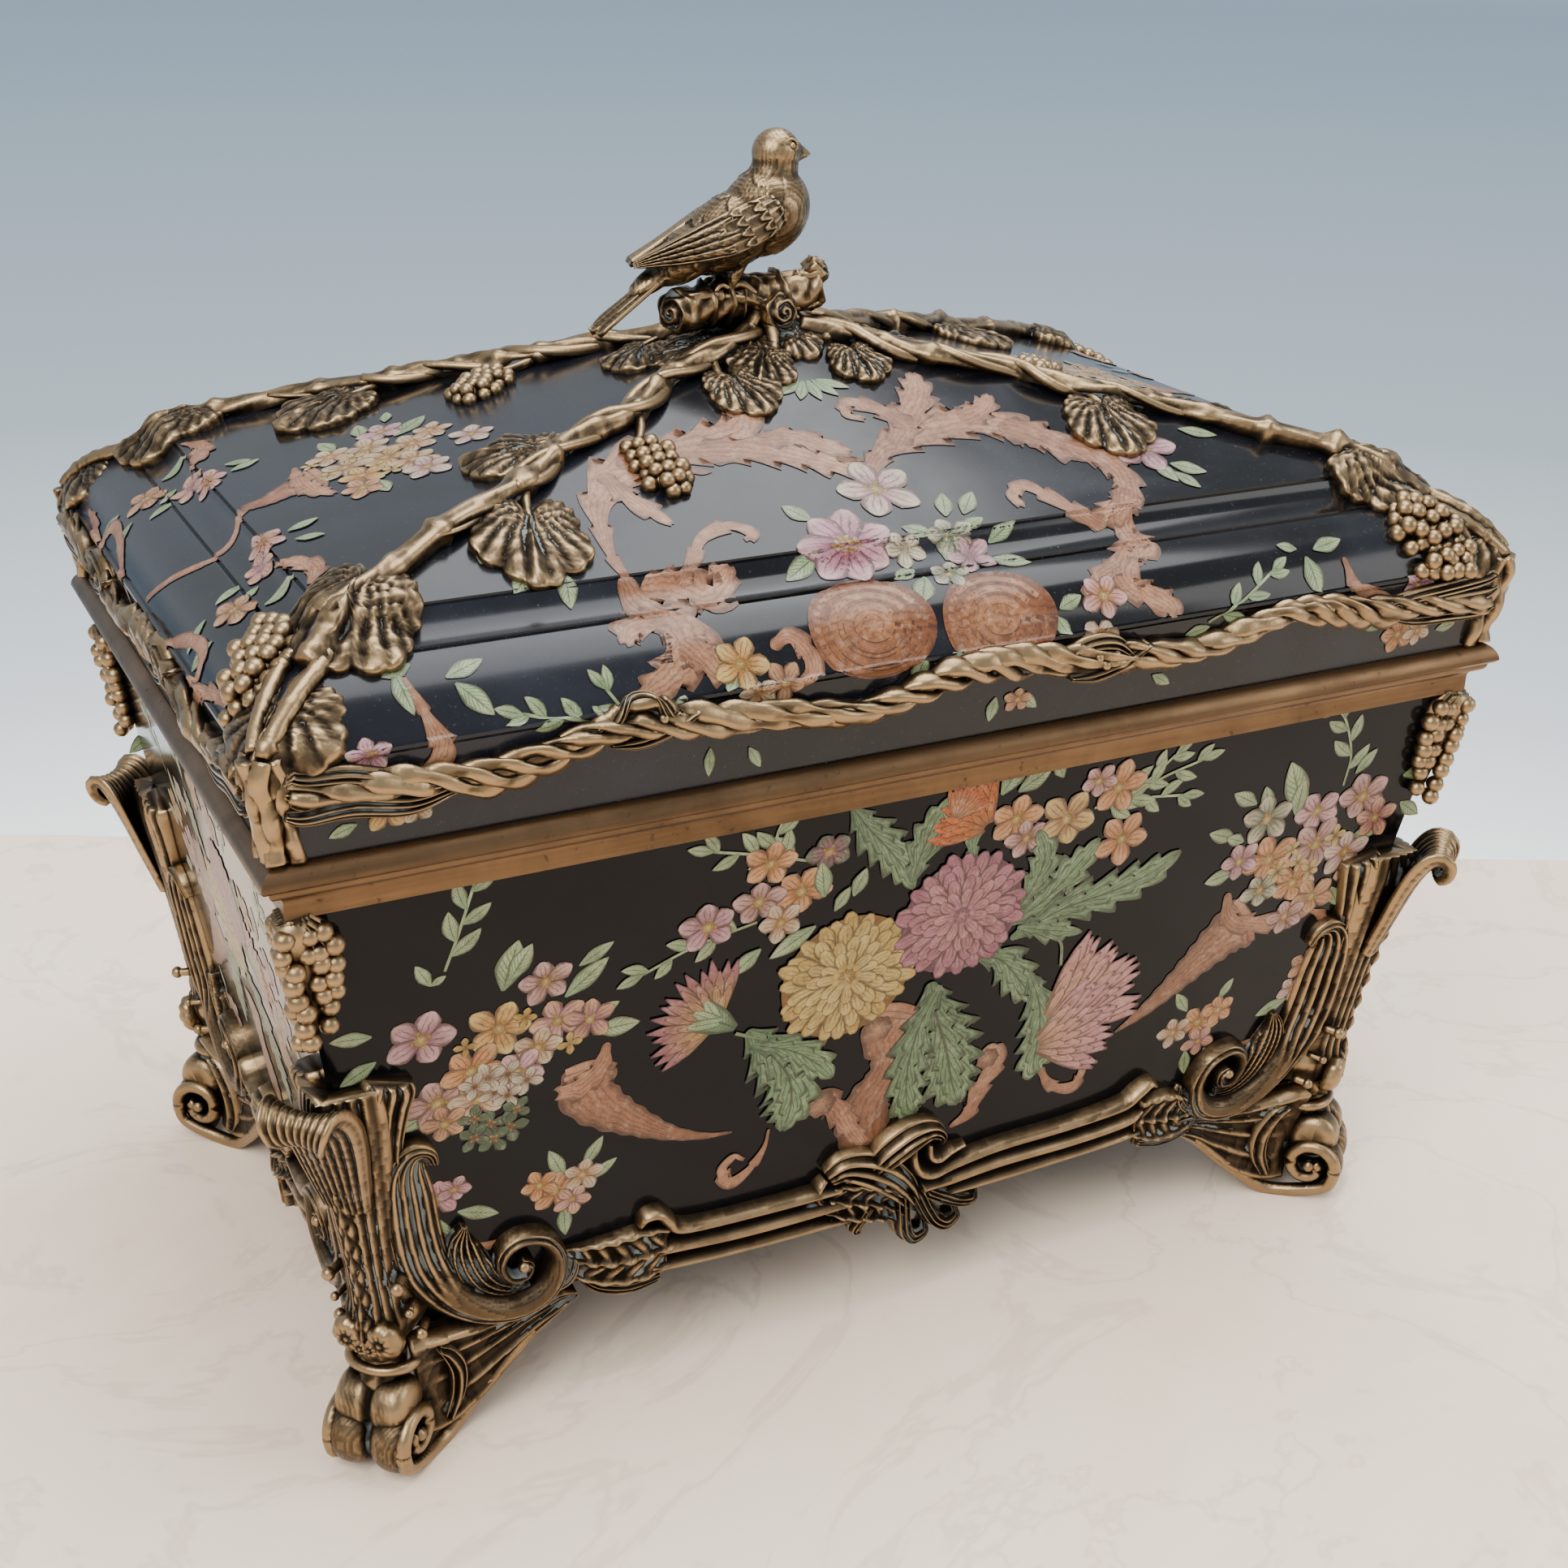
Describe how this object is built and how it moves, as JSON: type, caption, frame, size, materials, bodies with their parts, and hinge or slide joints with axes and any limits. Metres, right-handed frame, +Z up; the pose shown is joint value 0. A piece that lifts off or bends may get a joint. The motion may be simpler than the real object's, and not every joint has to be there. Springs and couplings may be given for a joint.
{
  "type": "table casket",
  "caption": "Footed porcelain table casket with a hinged hipped lid, cast bronze corner mounts, vine trim and a bird finial.",
  "frame": {"origin": "middle of the box on the surface that it stands on", "axes": "+X along the long side to the right, +Y to the back, +Z up"},
  "size_m": [0.4302, 0.2842, 0.3772],
  "materials": {
    "black_glaze": "gloss",
    "cast_bronze": "antiqued",
    "rim_bronze": "satin",
    "bird_bronze": "antiqued",
    "hinge_brass": "satin",
    "fixing_brass": "plain"
  },
  "bodies": {
    "casket": {"apron_back": "cast_bronze", "apron_front": "cast_bronze", "apron_left": "cast_bronze", "apron_right": "cast_bronze", "body_hinge_leaves": "hinge_brass", "body_rim": "rim_bronze", "corner_mount_back_left": "cast_bronze", "corner_mount_back_right": "cast_bronze", "corner_mount_front_left": "cast_bronze", "corner_mount_front_right": "cast_bronze", "foot_nuts": "fixing_brass", "foot_studs": "fixing_brass", "grape_drop_back_left": "cast_bronze", "grape_drop_back_right": "cast_bronze", "grape_drop_front_left": "cast_bronze", "grape_drop_front_right": "cast_bronze", "hinge_pins": "hinge_brass", "porcelain_body": "black_glaze", "scroll_foot_back_left": "cast_bronze", "scroll_foot_back_right": "cast_bronze", "scroll_foot_front_left": "cast_bronze", "scroll_foot_front_right": "cast_bronze"},
    "lid": {"bird": "bird_bronze", "corner_leaf_back_left": "cast_bronze", "corner_leaf_back_right": "cast_bronze", "corner_leaf_front_left": "cast_bronze", "corner_leaf_front_right": "cast_bronze", "edge_vine_back": "cast_bronze", "edge_vine_front": "cast_bronze", "edge_vine_left": "cast_bronze", "edge_vine_right": "cast_bronze", "finial_nut": "fixing_brass", "finial_stud": "fixing_brass", "finial_washer": "fixing_brass", "grapes_back_left": "cast_bronze", "grapes_back_right": "cast_bronze", "grapes_front_left": "cast_bronze", "grapes_front_right": "cast_bronze", "hip_branch_back_left": "cast_bronze", "hip_branch_back_right": "cast_bronze", "hip_branch_front_left": "cast_bronze", "hip_branch_front_right": "cast_bronze", "lid_hinge_leaves": "hinge_brass", "lid_rim": "rim_bronze", "perch": "cast_bronze", "porcelain_lid": "black_glaze", "vine_leaves_back_left": "cast_bronze", "vine_leaves_back_right": "cast_bronze", "vine_leaves_front_left": "cast_bronze", "vine_leaves_front_right": "cast_bronze"}
  },
  "joints": [
    {"name": "lid_hinge", "type": "hinge", "parent": "casket", "child": "lid", "pos_m": [0, 0.134, 0.21245], "axis": [-1, 0, 0], "range_deg": [0, 100]}
  ]
}
